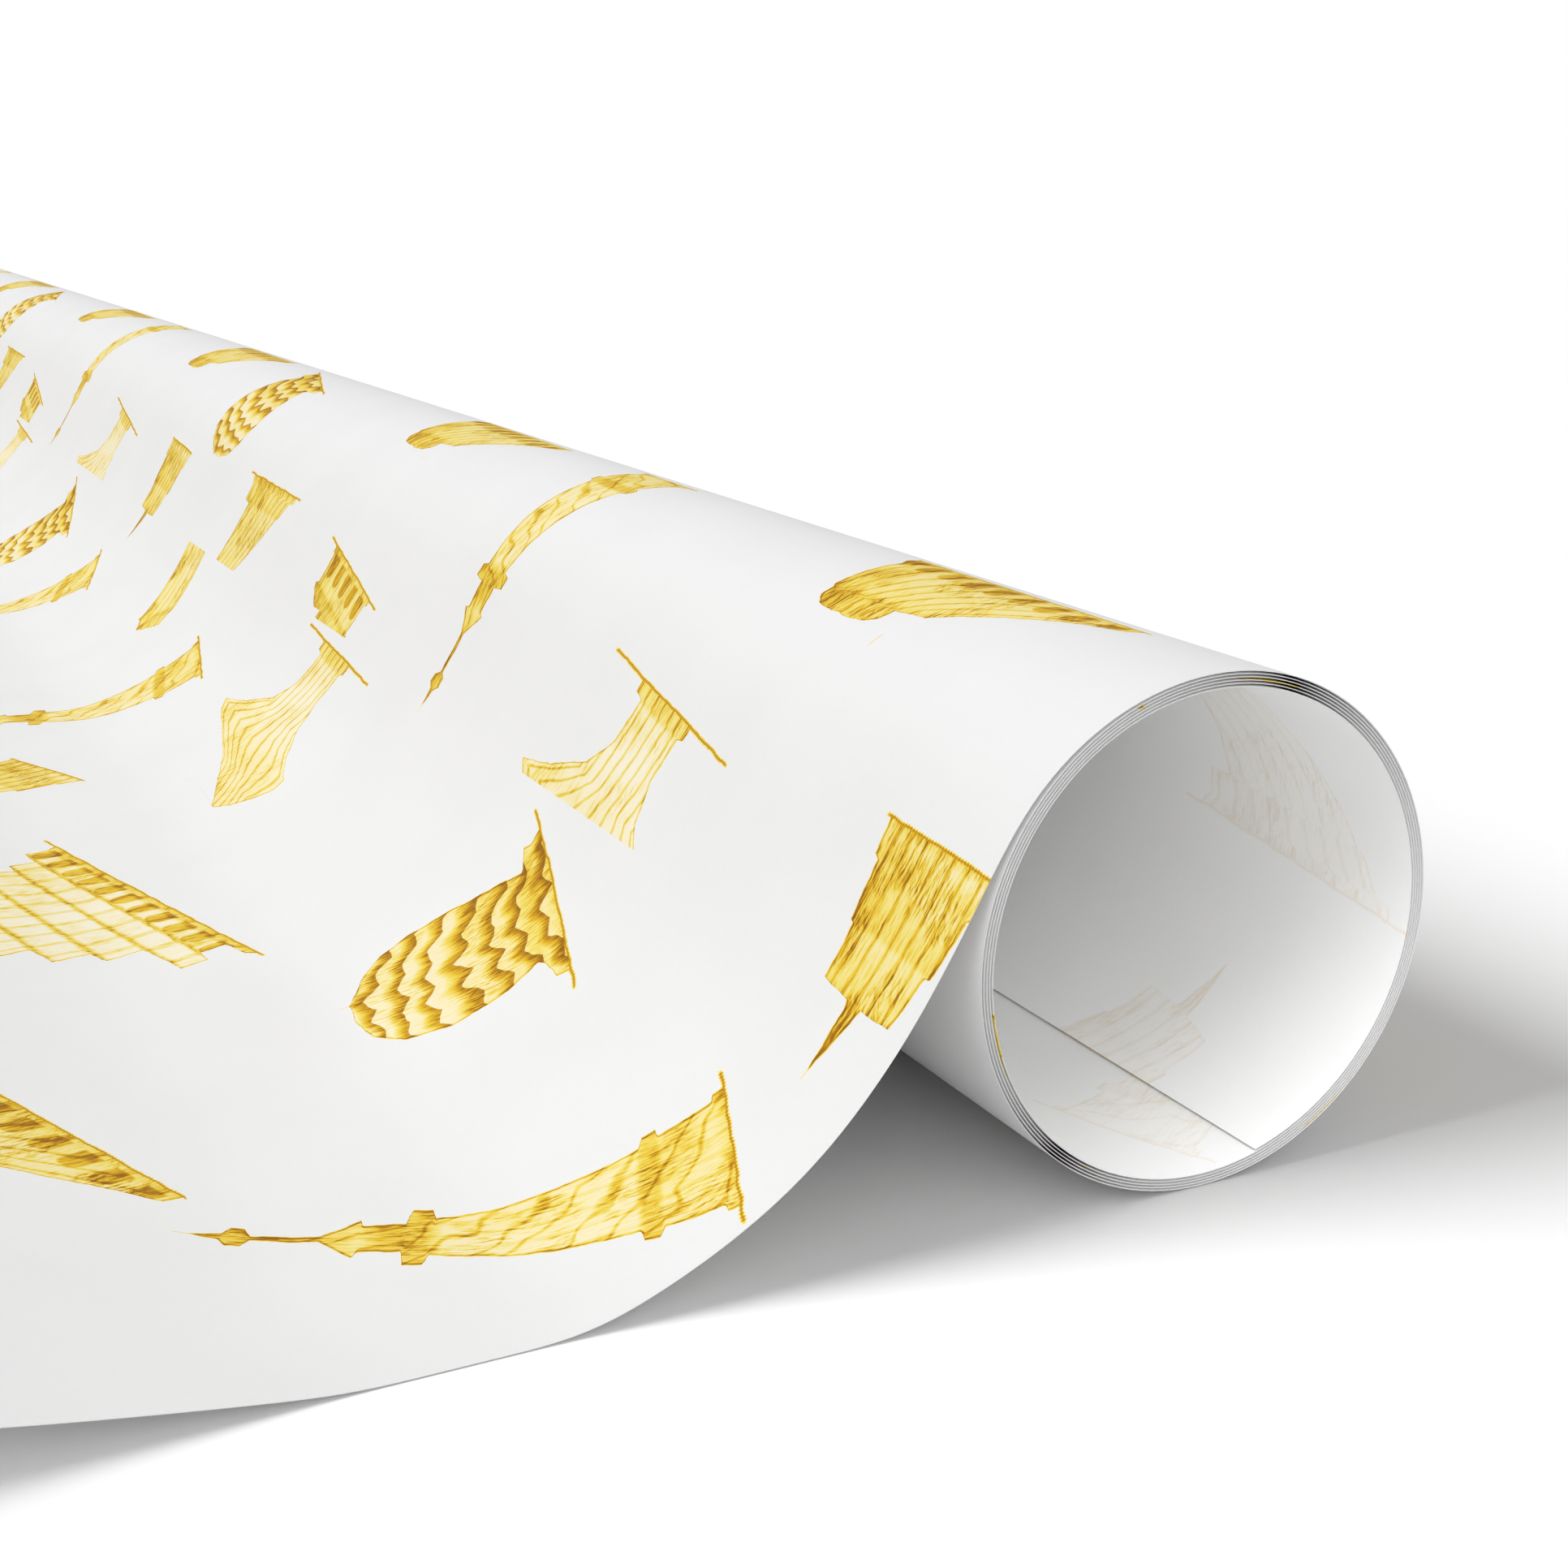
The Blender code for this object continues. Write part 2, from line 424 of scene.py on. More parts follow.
def art_coordinates(along, run, face_along, face_run):
    """Where each corner of each face lies on the strip of drawings, in metres.

    along and run hold each face's corners, face_along and face_run each face's middle. A face
    within a drawing's box gets the corner's place turned into that drawing's own axes, plus the
    drawing's place on the strip. All others get a blank place above and beside the drawings."""
    across = np.full_like(along, -0.45 * ART_BAND * 1000)
    up = np.full_like(along, 2 * ART_HEIGHT * 1000)
    free = np.ones(len(face_along), bool)
    tiles = [
        (drawing, left + TILE_ALONG * i, base + TILE_RUN * k, lean, part, TILE_SEAM + TILE_RUN * k)
        for i in TILES_ALONG
        for k in TILES_RUN
        for drawing, left, base, lean, part in LAYOUT
        if abs(base + TILE_RUN * k - face_run.mean()) < TALLEST + np.ptp(face_run) / 2
    ]
    for drawing, left, base, lean, part, seam in tiles:
        outline = np.array(DRAWINGS[drawing]["outline"])
        reach = max(np.abs(outline[:, 1:]).max(), DRAWINGS[drawing]["ground"]) + 1.5
        cos, sin = math.cos(math.radians(lean)), math.sin(math.radians(lean))
        x = (face_along - left) * cos - (face_run - base) * sin
        y = (face_along - left) * sin + (face_run - base) * cos
        within = free & (np.abs(x) < reach) & (y > -1.8) & (y < outline[-1, 0] + 1.5)
        if part == "before":
            within &= face_run < seam
        if part == "beyond":
            within &= face_run > seam
        free &= ~within
        place = KINDS.index(drawing) * ART_BAND * 1000
        a, r = along[within] - left, run[within] - base
        across[within] = a * cos - r * sin + place
        up[within] = a * sin + r * cos
    return np.stack([across, up], axis=-1) / 1000


# --------------------------------------------------------------------------------- materials


def linear(hex_colour):
    """An sRGB hex colour as linear RGBA."""
    values = [int(hex_colour[i : i + 2], 16) / 255 for i in (1, 3, 5)]
    return [v / 12.92 if v <= 0.04045 else ((v + 0.055) / 1.055) ** 2.4 for v in values] + [1.0]


def add(tree, kind, inputs=None, output=0, **settings):
    """Adds a node, sets it up, links or fills its inputs, and returns the asked output."""
    made = tree.nodes.new(kind)
    for name, value in settings.items():
        setattr(made, name, value)
    for socket, value in (inputs or {}).items():
        if isinstance(value, bpy.types.NodeSocket):
            tree.links.new(value, made.inputs[socket])
        else:
            made.inputs[socket].default_value = value
    return made.outputs[output] if len(made.outputs) else made


MATH = "ShaderNodeMath"
VECTOR = "ShaderNodeVectorMath"
NOISE = "ShaderNodeTexNoise"
RANGE = "ShaderNodeMapRange"


def set_curve(curve, points):
    """Straight lines between points, each in 0 to 1."""
    while len(curve.points) < len(points):
        curve.points.new(0.5, 0.5)
    for point, (x, y) in zip(curve.points, points):
        point.location = (x, y)
        point.handle_type = "VECTOR"


def set_ramp(socket, stops, interpolation="LINEAR"):
    """The stops of the colour ramp that a socket belongs to, each (position, colour)."""
    ramp = socket.node.color_ramp
    ramp.interpolation = interpolation
    while len(ramp.elements) < len(stops):
        ramp.elements.new(1.0)
    for element, (position, colour) in zip(ramp.elements, stops):
        element.position = position
        element.color = colour


def artwork_place(group):
    """The point's place on the strip, its drawing's number, and x and y in mm on that drawing."""
    place = add(group, "ShaderNodeUVMap", uv_map="artwork")
    # An unsteady hand: lines stray by up to 0.2 mm over a few millimetres.
    stray = add(group, NOISE, {"Vector": place, "Scale": 420.0, "Detail": 3.0}, output=1)
    stray = add(group, VECTOR, {0: stray, 1: (0.5, 0.5, 0.5)}, operation="SUBTRACT")
    stray = add(group, VECTOR, {0: stray, "Scale": 0.0006}, operation="SCALE")
    drawn = add(group, VECTOR, {0: place, 1: stray}, operation="ADD")
    along, up, _ = add(group, "ShaderNodeSeparateXYZ", {0: drawn}).node.outputs
    band = add(group, MATH, {0: along, 1: ART_BAND}, operation="DIVIDE")
    band = add(group, MATH, {0: band}, operation="ROUND")
    middle = add(group, MATH, {0: band, 1: ART_BAND}, operation="MULTIPLY")
    x = add(group, MATH, {0: along, 1: middle}, operation="SUBTRACT")
    x = add(group, MATH, {0: x, 1: 1000.0}, operation="MULTIPLY")
    y = add(group, MATH, {0: up, 1: 1000.0}, operation="MULTIPLY")
    height = add(group, MATH, {0: up, 1: ART_HEIGHT}, operation="DIVIDE")
    return place, band, x, y, height


def drawing_curves(group, number, height):
    """One drawing's left edge, right edge and shade at a height, as the channels of a curve."""
    drawing = DRAWINGS[KINDS[number]]
    top = drawing["outline"][-1][0]
    curves = add(group, "ShaderNodeRGBCurve", {1: height})
    mapping = curves.node.mapping
    mapping.extend = "HORIZONTAL"
    for channel, column in enumerate((1, 2)):
        edge = [
            (row[0] / 1000 / ART_HEIGHT, 0.5 + row[column] / EDGE_SPAN)
            for row in drawing["outline"]
        ]
        closed = [((top + 0.2) / 1000 / ART_HEIGHT, 0.5), (1.0, 0.5)]
        set_curve(mapping.curves[channel], edge + closed)
    shade = [(h / 1000 / ART_HEIGHT, dark) for h, dark in drawing["shade"]]
    set_curve(mapping.curves[2], shade)
    mapping.update()
    return curves


def edges_and_shade(group, band, height):
    """Left edge and right edge in mm, and shade, of the drawing under the point."""
    shape = (0.0, 0.0, 0.0)
    for number in range(len(KINDS)):
        curves = drawing_curves(group, number, height)
        here = add(group, MATH, {0: band, 1: float(number), 2: 0.1}, operation="COMPARE")
        shape = add(group, VECTOR, {0: curves, 1: here, 2: shape}, operation="MULTIPLY_ADD")
    left, right, shade = add(group, "ShaderNodeSeparateXYZ", {0: shape}).node.outputs
    left = {0: left, 1: EDGE_SPAN, 2: -EDGE_SPAN / 2}
    left = add(group, MATH, left, operation="MULTIPLY_ADD")
    right = {0: right, 1: EDGE_SPAN, 2: -EDGE_SPAN / 2}
    right = add(group, MATH, right, operation="MULTIPLY_ADD")
    return left, right, shade


def strengths_of(group, band, names):
    """Three of a drawing's strengths, held as constant steps of a colour ramp along the strip."""
    step = add(group, MATH, {0: band, 1: 0.5}, operation="ADD")
    step = add(group, MATH, {0: step, 1: float(len(KINDS))}, operation="DIVIDE")
    ramp = add(group, "ShaderNodeValToRGB", {0: step})
    spans = [GROUND_SPAN if name == "ground" else 1 for name in names]
    stops = []
    for number, kind in enumerate(KINDS):
        values = [DRAWINGS[kind][name] / span for name, span in zip(names, spans)]
        stops.append((number / len(KINDS), [*values, 1.0]))
    set_ramp(ramp, stops, "CONSTANT")
    return add(group, "ShaderNodeSeparateXYZ", {0: ramp}).node.outputs


def brush_streaks(group, x, y):
    """Streaks of a dry brush, 0.3 to 0.5 mm apart, along the building."""
    hairs = add(group, "ShaderNodeCombineXYZ", {0: x, 1: y})
    hairs = add(group, VECTOR, {0: hairs, 1: (3.6, 0.4, 1.0)}, operation="MULTIPLY")
    hairs = {"Vector": hairs, "Scale": 1.0, "Detail": 4.0, "Roughness": 0.65}
    streaks = add(group, NOISE, hairs)
    return add(group, RANGE, {"Value": streaks, "From Min": 0.46, "From Max": 0.64})


def pencil_strokes(group, place, x, y):
    """Slanting strokes, only in patches of a few millimetres."""
    slant = add(group, MATH, {0: x, 1: 0.75}, operation="MULTIPLY")
    slant = add(group, MATH, {0: y, 1: 0.66, 2: slant}, operation="MULTIPLY_ADD")
    square = add(group, MATH, {0: x, 1: -0.66}, operation="MULTIPLY")
    square = add(group, MATH, {0: y, 1: 0.75, 2: square}, operation="MULTIPLY_ADD")
    turned_place = add(group, "ShaderNodeCombineXYZ", {0: slant, 1: square})
    turned_place = add(group, VECTOR, {0: turned_place, 1: (2.2, 0.35, 1.0)}, operation="MULTIPLY")
    strokes = add(group, NOISE, {"Vector": turned_place, "Scale": 1.0, "Detail": 2.0})
    strokes = add(group, RANGE, {"Value": strokes, "From Min": 0.5, "From Max": 0.62})
    blots = add(group, NOISE, {"Vector": place, "Scale": 260.0, "Detail": 2.0})
    patches = add(group, RANGE, {"Value": blots, "From Min": 0.45, "From Max": 0.6})
    return add(group, MATH, {0: strokes, 1: patches}, operation="MULTIPLY")


def rib_lines(group, wide, across):
    """Ribs that stay at the same share of the width, so they spread where the building does."""
    rib = add(group, MATH, {0: wide, 1: 0.45}, operation="MULTIPLY")
    rib = add(group, MATH, {0: rib, 1: 9.0}, operation="MINIMUM")
    rib = add(group, MATH, {0: rib, 1: across}, operation="MULTIPLY")
    rib = add(group, MATH, {0: rib, 1: 1.0}, operation="PINGPONG")
    return add(group, RANGE, {"Value": rib, "From Min": 0.3, "From Max": 0.1})


def shell_courses(group, x, y, across, sway):
    """Scalloped courses, 3.5 mm apart, each dark below and fading upwards like a row of shells."""
    bow = add(group, MATH, {0: across, 1: across}, operation="MULTIPLY")
    scallop = add(group, MATH, {0: x, 1: 2.6}, operation="PINGPONG")
    level = add(group, MATH, {0: bow, 1: 2.4, 2: y}, operation="MULTIPLY_ADD")
    level = add(group, MATH, {0: scallop, 1: 0.45, 2: level}, operation="MULTIPLY_ADD")
    level = add(group, MATH, {0: sway, 1: 3.2, 2: level}, operation="MULTIPLY_ADD")
    level = add(group, MATH, {0: level, 1: 3.5}, operation="DIVIDE")
    level = add(group, MATH, {0: level}, operation="FRACT")
    return add(group, RANGE, {"Value": level, "From Min": 0.62, "From Max": 0.1})


def climbing_folds(group, y, across, sway):
    """Thin wavering folds that climb round the building, 4 mm apart."""
    climb = add(group, MATH, {0: across, 1: 0.95}, operation="MULTIPLY")
    climb = add(group, MATH, {0: climb}, operation="ARCSINE")
    climb = add(group, MATH, {0: climb, 1: 3.2, 2: y}, operation="MULTIPLY_ADD")
    climb = add(group, MATH, {0: sway, 1: 9.0, 2: climb}, operation="MULTIPLY_ADD")
    climb = add(group, MATH, {0: climb, 1: 2.0}, operation="PINGPONG")
    return add(group, RANGE, {"Value": climb, "From Min": 0.5, "From Max": 0.1})


def arcade(group, x, y):
    """Arches 4.4 mm apart: a dark opening where a half circle tops a straight one."""
    bay = add(group, MATH, {0: x, 1: 2.2}, operation="PINGPONG")
    rise = add(group, MATH, {0: y, 1: -3.0}, operation="ADD")
    rise = add(group, MATH, {0: rise, 1: 0.0}, operation="MAXIMUM")
    rise = add(group, MATH, {0: rise, 1: rise}, operation="MULTIPLY")
    opening = add(group, MATH, {0: bay, 1: bay, 2: rise}, operation="MULTIPLY_ADD")
    opening = add(group, RANGE, {"Value": opening, "From Min": 2.2, "From Max": 1.4})
    sill = add(group, RANGE, {"Value": y, "From Min": 0.7, "From Max": 1.0})
    return add(group, MATH, {0: opening, 1: sill}, operation="MULTIPLY")


def ground_line(group, x, y, ground):
    """The line a building stands on, 0.5 mm thick, beaded like a chalk stroke."""
    reach = add(group, MATH, {0: ground, 1: GROUND_SPAN}, operation="MULTIPLY")
    beside = add(group, MATH, {0: x}, operation="ABSOLUTE")
    reach = add(group, MATH, {0: reach, 1: beside}, operation="SUBTRACT")
    reach = add(group, RANGE, {"Value": reach, "From Min": 0.0, "From Max": 0.5})
    off = add(group, MATH, {0: y}, operation="ABSOLUTE")
    beads = add(group, MATH, {0: x, 1: 0.22}, operation="PINGPONG")
    off = add(group, MATH, {0: beads, 1: 0.6, 2: off}, operation="MULTIPLY_ADD")
    line = add(group, RANGE, {"Value": off, "From Min": 0.36, "From Max": 0.12, "To Max": 0.8})
    return add(group, MATH, {0: line, 1: reach}, operation="MULTIPLY")


def line_artwork():
    """A node group whose output, 0 to 1, is how much ink the drawing under each point has."""
    group = bpy.data.node_groups.new("line_artwork", "ShaderNodeTree")
    group.interface.new_socket("Ink", in_out="OUTPUT", socket_type="NodeSocketFloat")
    place, band, x, y, height = artwork_place(group)
    left, right, shade = edges_and_shade(group, band, height)
    courses, ribs, arches = strengths_of(group, band, ("courses", "ribs", "arches"))
    wash, spiral, ground = strengths_of(group, band, ("wash", "spiral", "ground"))

    # How far inside the nearer edge, and how far across from -1 to 1.
    from_left = add(group, MATH, {0: x, 1: left}, operation="SUBTRACT")
    from_right = add(group, MATH, {0: right, 1: x}, operation="SUBTRACT")
    depth = add(group, MATH, {0: from_left, 1: from_right}, operation="MINIMUM")
    wide = add(group, MATH, {0: right, 1: left}, operation="SUBTRACT")
    wide = add(group, MATH, {0: wide, 1: 0.1}, operation="MAXIMUM")
    across = add(group, MATH, {0: from_left, 1: wide}, operation="DIVIDE")
    across = add(group, MATH, {0: across, 1: 2.0, 2: -1.0}, operation="MULTIPLY_ADD")
    above = add(group, RANGE, {"Value": y, "From Min": -0.15, "From Max": 0.1})
    inside = add(group, RANGE, {"Value": depth, "From Min": -0.1, "From Max": 0.15})
    inside = add(group, MATH, {0: inside, 1: above}, operation="MULTIPLY")

    # The outline, about 0.35 mm thick, and the shade that deepens towards the right.
    contour = add(group, RANGE, {"Value": depth, "From Min": 0.42, "From Max": 0.12})
    side = add(group, RANGE, {"Value": across, "From Min": -0.2, "From Max": 0.8})

    # The brush leaves open patches of 5 to 10 mm, where only the faintest streaks remain.
    sway = add(group, NOISE, {"Vector": place, "Scale": 170.0, "Detail": 1.0})
    drawn_over = {"Value": sway, "From Min": 0.42, "From Max": 0.56, "To Min": 0.15, "To Max": 1.0}
    drawn_over = add(group, RANGE, drawn_over)
    hand = add(group, MATH, {0: wash, 1: 2.0, 2: 0.4}, operation="MULTIPLY_ADD")
    hand = add(group, MATH, {0: hand, 1: drawn_over}, operation="MULTIPLY")
    streaks = brush_streaks(group, x, y)
    strokes = pencil_strokes(group, place, x, y)
    brushed = add(group, MATH, {0: streaks, 1: 0.42}, operation="MULTIPLY")
    brushed = add(group, MATH, {0: strokes, 1: 0.26, 2: brushed}, operation="MULTIPLY_ADD")
    brushed = add(group, MATH, {0: side, 1: 0.2, 2: brushed}, operation="MULTIPLY_ADD")
    brushed = add(group, MATH, {0: brushed, 1: hand}, operation="MULTIPLY")
    ink = add(group, MATH, {0: wash, 1: 0.4, 2: brushed}, operation="MULTIPLY_ADD")

    # Each pattern with the drawing's own strength for it, and its weight in the sum.
    for pattern, strength, weight in (
        (shade, 1.0, 0.58),
        (rib_lines(group, wide, across), ribs, 0.42),
        (shell_courses(group, x, y, across, sway), courses, 0.7),
        (climbing_folds(group, y, across, sway), spiral, 0.42),
        (arcade(group, x, y), arches, 0.5),
        (contour, 1.0, 0.55),
    ):
        drawn = add(group, MATH, {0: pattern, 1: strength}, operation="MULTIPLY")
        ink = add(group, MATH, {0: drawn, 1: weight, 2: ink}, operation="MULTIPLY_ADD")
    patchy = add(group, RANGE, {"Value": streaks, "To Min": 0.78, "To Max": 1.12})
    ink = add(group, MATH, {0: ink, 1: patchy}, operation="MULTIPLY")
    ink = add(group, MATH, {0: ink, 1: inside}, operation="MULTIPLY")
    line = ground_line(group, x, y, ground)
    ink = add(group, MATH, {0: ink, 1: line}, operation="MAXIMUM")
    ink = add(group, MATH, {0: ink, 1: 1.0}, operation="MINIMUM")
    add(group, "NodeGroupOutput", {0: ink})
    return group


def paper_material(name, stops, roughness, ink_share):
    """Uncoated paper: a matt surface with a faint fibre, and an ink ramp over its own colour."""
    material = bpy.data.materials.new(name)
    material.use_nodes = True
    tree = material.node_tree
    tree.nodes.clear()
    ink = add(tree, "ShaderNodeGroup", node_tree=ARTWORK)
    ink = add(tree, MATH, {0: ink, 1: ink_share}, operation="MULTIPLY")
    colour = add(tree, "ShaderNodeValToRGB", {0: ink})
    set_ramp(colour, [(position, linear(hex_colour)) for position, hex_colour in stops])
    # Fibres and size flecks, 0.5 mm long, drawn coarser than real so that they show.
    fibre_place = add(tree, "ShaderNodeUVMap", uv_map="web")
    fibres = add(tree, NOISE, {"Vector": fibre_place, "Scale": 1400.0, "Detail": 3.0})
    cloud = add(tree, NOISE, {"Vector": fibre_place, "Scale": 60.0, "Detail": 2.0})
    shading = add(tree, MATH, {0: fibres, 1: 0.5, 2: cloud}, operation="MULTIPLY_ADD")
    uneven = {"Value": shading, "From Min": 0.4, "From Max": 1.1, "To Min": 0.975, "To Max": 1.015}
    shading = add(tree, RANGE, uneven)
    shaded = add(tree, VECTOR, {0: colour, 1: shading}, operation="MULTIPLY")
    grain = add(tree, "ShaderNodeBump", {"Height": fibres, "Strength": 0.12, "Distance": 0.00004})
    gloss = add(tree, RANGE, {"Value": fibres, "To Min": roughness - 0.06, "To Max": roughness + 0.06})
    surface = {
        "Base Color": shaded,
        "Roughness": gloss,
        "IOR": 1.45,
        "Specular IOR Level": 0.3,
        "Normal": grain,
    }
    surface = add(tree, "ShaderNodeBsdfPrincipled", surface)
    add(tree, "ShaderNodeOutputMaterial", {"Surface": surface})
    return material


# The ramps go from bare paper over a cream wash and yellow to a burnt ochre.
PRINTED = (
    (0.0, "#D9D9D9"),
    (0.04, "#E3DCC6"),
    (0.18, "#E0D3A5"),
    (0.32, "#DDCD73"),
    (0.46, "#D8BD42"),
    (0.58, "#D0AA22"),
    (0.7, "#C1930F"),
    (0.84, "#A97806"),
    (1.0, "#885803"),
)
# The back's ramp starts far lighter than the printed side's paper: painted light that brightens the
# bore inside the roll.
SEEN_THROUGH_PAINTED_LIGHTER = ((0.0, "#F6F6F6"), (0.25, "#F7F6F2"), (0.6, "#F1ECE3"), (1.0, "#E8DFD1"))
CUT = ((0.0, "#BABAB9"), (0.15, "#C9B672"), (1.0, "#B98E2A"))

ARTWORK = line_artwork()
MATERIALS = (
    # Wood-free offset paper, printed with opaque gold inks: the ink shows as drawn.
    paper_material("printed_offset_paper", PRINTED, 0.62, 1.0),
    # The same paper's bare back, where the ink is just seen through. Its paper is painted far lighter
    # than the printed side's: painted light that stands in for light bounced round the bore.
    paper_material("bare_offset_paper", SEEN_THROUGH_PAINTED_LIGHTER, 0.7, 0.8),
    # Its guillotined edge, torn fibres with a little ink where a drawing runs off.
    paper_material("cut_paper_edge", CUT, 0.85, 0.9),
)


# ------------------------------------------------------------------------------------ pieces


def spaced(start, end, step):
    """Even steps from start to end, with a hair's breadth in mm at both ends to hold normals."""
    count = max(2, round(abs(end - start) / step)) + 1
    even = np.linspace(start, end, count)
    hair = math.copysign(0.02, end - start)
    return np.concatenate([even[:1], [start + hair], even[1:-1], [end - hair], even[-1:]])


def strip_faces(rows, columns):
    """Each face's corners and material: printed side, back, and the four cut edges."""
    face, back = np.arange(2 * rows * columns).reshape(2, rows, columns)
    quads = (
        (face[:-1, :-1], face[:-1, 1:], face[1:, 1:], face[1:, :-1]),
        (back[:-1, :-1], back[1:, :-1], back[1:, 1:], back[:-1, 1:]),
        (face[:-1, 0], face[1:, 0], back[1:, 0], back[:-1, 0]),
        (face[1:, -1], face[:-1, -1], back[:-1, -1], back[1:, -1]),
        (face[0, 1:], face[0, :-1], back[0, :-1], back[0, 1:]),
        (face[-1, :-1], face[-1, 1:], back[-1, 1:], back[-1, :-1]),
    )
    corners = np.concatenate([np.stack(quad, axis=-1).reshape(-1, 4) for quad in quads])
    slots = np.repeat((0, 1, 2, 2, 2, 2), [quad[0].size for quad in quads])
    return corners, slots


def sheet_piece(name, first, last, column=SEEN_STEP):
    """A closed strip of sheet from one run to the other, over the whole width.

    A point is sheet_points(run), offset by half the paper along sheet_normals(run), swept along
    Y. Side 0 is the printed face and side 1 the back."""
    runs = spaced(first, last, ROW_STEP)
    alongs = np.linspace(0, SHEET_WIDTH * 1000, round(SHEET_WIDTH * 1000 / column) + 1)
    rows, columns = len(runs), len(alongs)
    x, z = sheet_points(runs)
    nx, nz = sheet_normals(runs)
    half = np.array([PAPER / 2, -PAPER / 2])[:, None, None]
    shape = (2, rows, columns)
    points = np.stack(
        [
            np.broadcast_to((x + half * nx).transpose(0, 2, 1), shape),
            np.broadcast_to(alongs / 1000 - SHEET_WIDTH / 2, shape),
            np.broadcast_to((z + half * nz).transpose(0, 2, 1), shape),
        ],
        axis=-1,
    )
    flat = np.stack(
        [np.broadcast_to(alongs, shape), np.broadcast_to(runs[:, None], shape)], axis=-1
    )
    corners, slots = strip_faces(rows, columns)
    if last < first:
        corners = corners[:, ::-1]

    mesh = bpy.data.meshes.new(name)
    mesh.vertices.add(2 * rows * columns)
    mesh.vertices.foreach_set("co", points.ravel())
    mesh.loops.add(corners.size)
    mesh.loops.foreach_set("vertex_index", corners.ravel())
    mesh.polygons.add(len(corners))
    mesh.polygons.foreach_set("loop_start", np.arange(0, corners.size, 4))
    mesh.polygons.foreach_set("material_index", slots)
    for material in MATERIALS:
        mesh.materials.append(material)
    flat_corners = flat.reshape(-1, 2)[corners]
    middle = flat_corners.mean(axis=1)
    art = art_coordinates(flat_corners[..., 0], flat_corners[..., 1], middle[:, 0], middle[:, 1])
    web = mesh.uv_layers.new(name="web")
    web.data.foreach_set("uv", (flat_corners / 1000).ravel())
    artwork = mesh.uv_layers.new(name="artwork")
    artwork.data.foreach_set("uv", art.ravel())
    mesh.update(calc_edges=True)
    mesh.shade_smooth()
    mesh.set_sharp_from_angle(angle=math.radians(40))
    piece = bpy.data.objects.new(name, mesh)
    bpy.context.scene.collection.objects.link(piece)
    return piece


def flap_pieces():
    """From each zone's middle to the next one's, bending over the hinge between them."""
    start, body = 0.0, "outer_turn"
    last = FLAP_ZONES[-1][2]
    for zone, hinge, end in FLAP_ZONES:
        middle = min((hinge + end) / 2, last - FREE_EDGE)
        piece = sheet_piece(zone + "_bend", start, middle)
        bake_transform(piece)
        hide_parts(zone)
        start, body = middle, zone
    edge = sheet_piece("free_edge", start, last)
    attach(edge, body)


def wound_pieces():
    """Half turns: the right half rides on its turn, the left half passes on to the next one."""
    for number, turn in enumerate(TURNS):
        crest = 360.0 * number
        seen = number == 0 or number >= 4
        column = SEEN_STEP if seen else HIDDEN_STEP
        last = INNER_BENDS if turn == TURNS[-1] else crest + 180
        right = sheet_piece(turn + "_right", wound_run(last), wound_run(crest), column)
        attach(right, turn)
        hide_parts(turn)
        if turn != TURNS[-1]:
            left = sheet_piece(turn + "_left", wound_run(crest + 360), wound_run(last), column)
            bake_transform(left)
    start, body = INNER_BENDS, TURNS[-1]
    for zone, hinge, end in INNER_ZONES:
        middle = (hinge + end) / 2
        piece = sheet_piece(zone + "_bend", wound_run(middle), wound_run(start))
        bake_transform(piece)
        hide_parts(zone)
        start, body = middle, zone
    edge = sheet_piece("inner_edge", wound_run(INNER_ZONES[-1][2]), wound_run(start))
    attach(edge, body)


flap_pieces()
wound_pieces()

# --------------------------------------------------------------------- floor, light and camera

# The sky's brightest direction, and its strength away from it and towards it.
BRIGHT_SIDE = (-0.3, -0.94, 0.1)
SKY = 0.3
SKY_BRIGHT = 0.9
# Half the table's width and how far below the sheet it lies, which keeps the two from flickering.
TABLE_HALF = 4.0
TABLE_DEPTH = 0.00005
# Suns: (name, what it lights, strength, degrees across, degrees from overhead, heading).
LAMPS = (
    ("overhead", "sheet", 2.2, 50, 24, -75),
    ("front_fill", "sheet", 2.45, 64, 85, -4),
    ("key", "table", 3.15, 32, 53, -103),
)


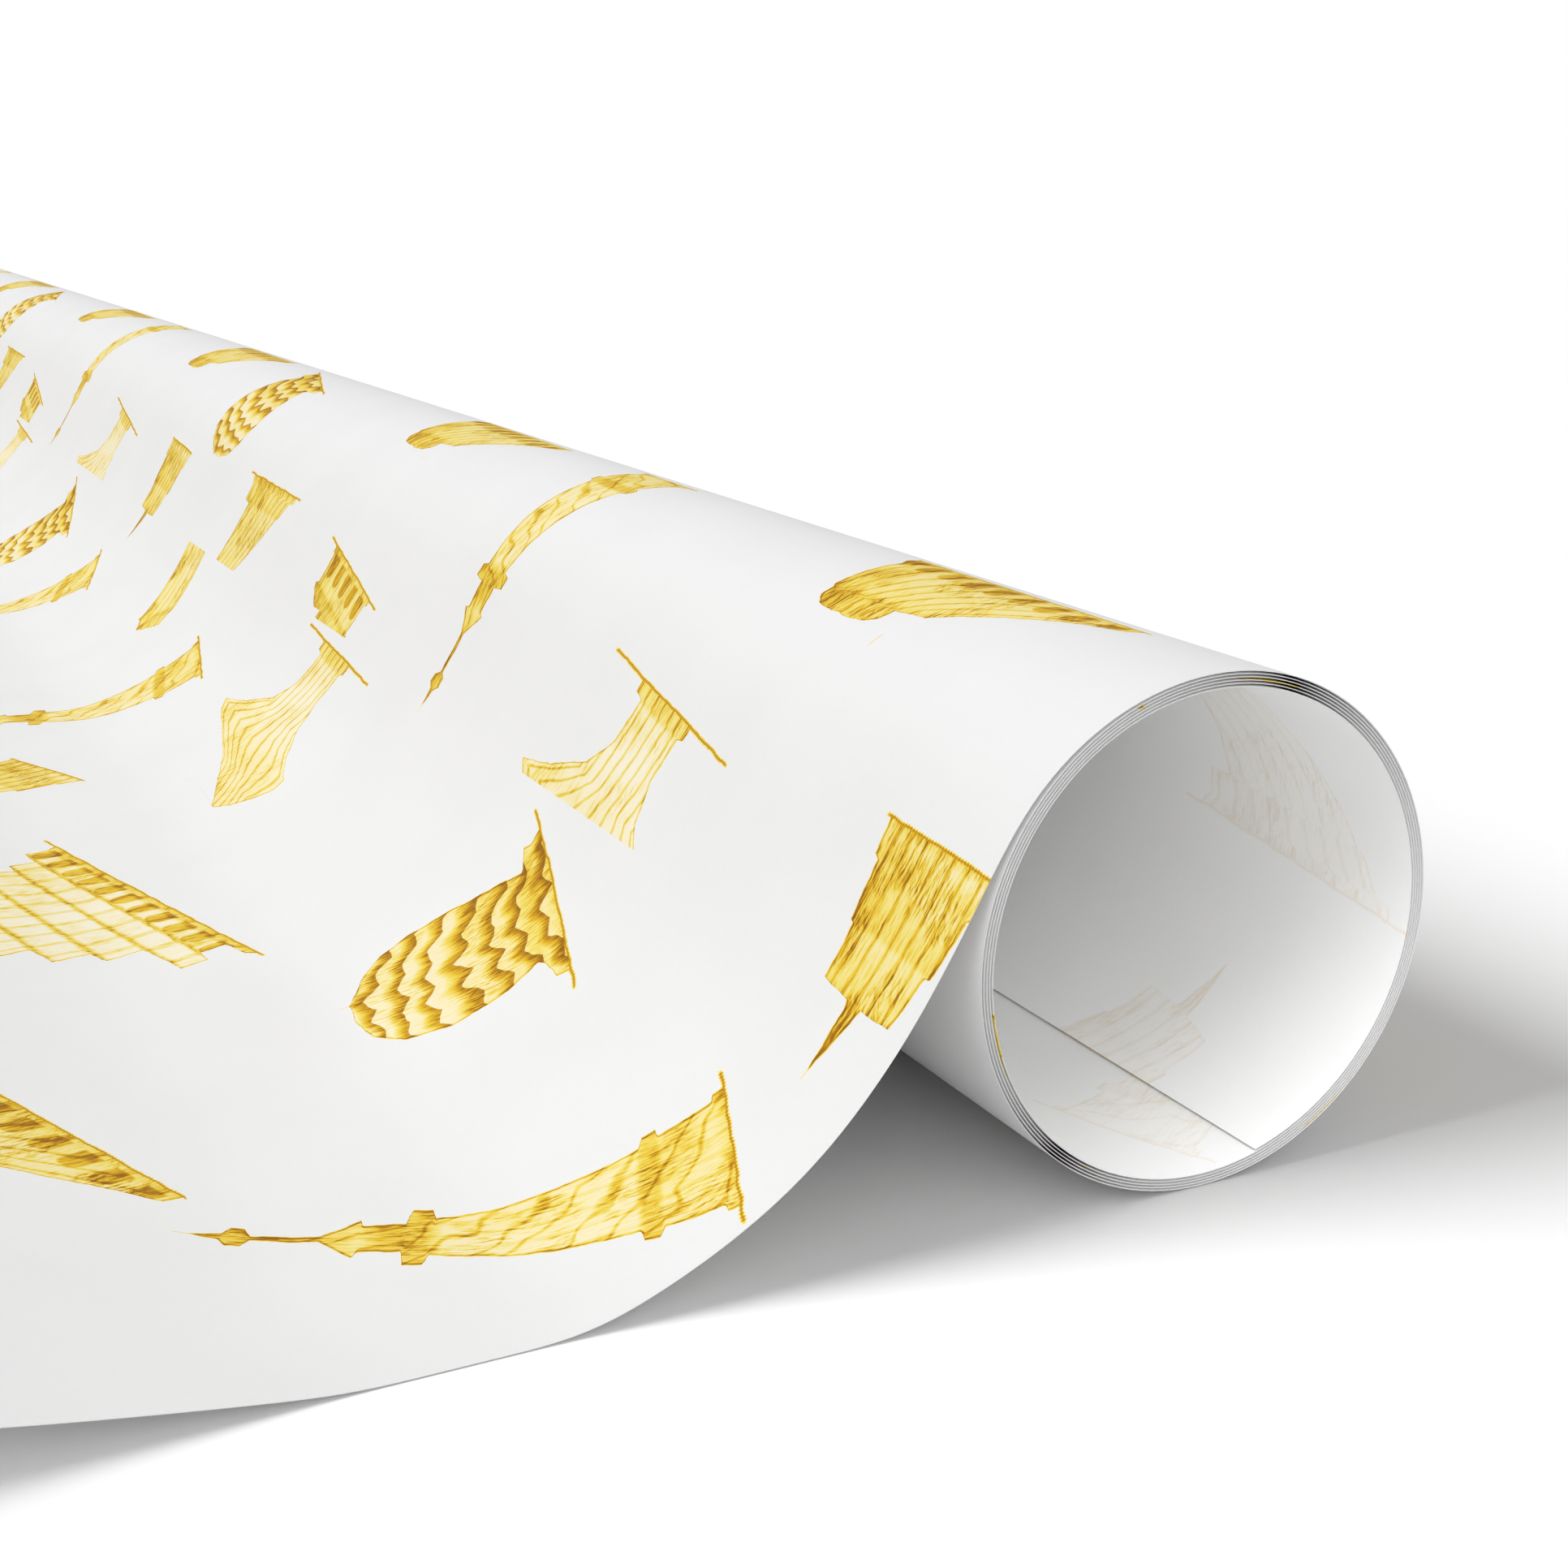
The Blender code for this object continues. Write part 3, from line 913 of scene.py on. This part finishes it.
def studio():
    """A wide white table, a soft sky and broad suns that light the sheet and the table apart."""
    world = bpy.data.worlds.new("studio")
    bpy.context.scene.world = world
    world.use_nodes = True
    tree = world.node_tree
    tree.nodes.clear()
    # The sky is brighter towards the front, where a studio's white walls would be, and pure white
    # behind the table.
    direction = add(tree, "ShaderNodeTexCoord")
    toward = add(tree, VECTOR, {0: direction, 1: BRIGHT_SIDE}, output=1, operation="DOT_PRODUCT")
    bright = add(tree, RANGE, {"Value": toward, "From Min": 0.0, "To Min": SKY, "To Max": SKY_BRIGHT})
    seen = add(tree, "ShaderNodeLightPath")
    strength = add(tree, MATH, {0: bright, 1: seen}, operation="MAXIMUM")
    sky = add(tree, "ShaderNodeBackground", {"Color": linear("#FFFFFF"), "Strength": strength})
    add(tree, "ShaderNodeOutputWorld", {"Surface": sky})

    floor_mesh = bpy.data.meshes.new("table_top")
    corners = [(-1, -1), (1, -1), (1, 1), (-1, 1)]
    corners = [(x * TABLE_HALF, y * TABLE_HALF, -TABLE_DEPTH) for x, y in corners]
    floor_mesh.from_pydata(corners, [], [(0, 1, 2, 3)])
    floor = bpy.data.objects.new("table_top", floor_mesh)
    bpy.context.scene.collection.objects.link(floor)
    laminate = bpy.data.materials.new("white_laminate")
    laminate.use_nodes = True
    surface = laminate.node_tree.nodes["Principled BSDF"]
    surface.inputs["Base Color"].default_value = linear("#FDFDFD")
    surface.inputs["Roughness"].default_value = 0.9
    surface.inputs["Specular IOR Level"].default_value = 0.1
    floor_mesh.materials.append(laminate)

    receivers = {part: bpy.data.collections.new("lit_" + part) for part in ("sheet", "table")}
    for piece in bpy.context.scene.collection.objects:
        if piece.type == "MESH":
            receivers["table" if piece == floor else "sheet"].objects.link(piece)
    for name, lights, strength, softness, tilt, heading in LAMPS:
        lamp_data = bpy.data.lights.new(name, "SUN")
        lamp_data.energy = strength
        lamp_data.angle = math.radians(softness)
        lamp = bpy.data.objects.new(name, lamp_data)
        lamp.rotation_euler = (math.radians(tilt), 0.0, math.radians(heading))
        bpy.context.scene.collection.objects.link(lamp)
        lamp.light_linking.receiver_collection = receivers[lights]


def camera():
    """A 50.8 mm lens 0.19 m from the roll's near end, 26.6 degrees off its axis."""
    data = bpy.data.cameras.new("camera")
    data.sensor_width = 36.0
    data.lens = 50.81
    data.clip_start = 0.01
    made = bpy.data.objects.new("camera", data)
    near_end = np.array([ROLL_X, -SHEET_WIDTH / 2, AXIS_HEIGHT])
    made.location = near_end + OUTER_RADIUS * np.array([-4.813, -6.114, 2.759])
    made.rotation_euler = (math.radians(90 - 15.92), 0.0, math.radians(-26.59))
    bpy.context.scene.collection.objects.link(made)
    bpy.context.scene.camera = made


studio()
camera()
bpy.context.scene.view_settings.view_transform = "Standard"
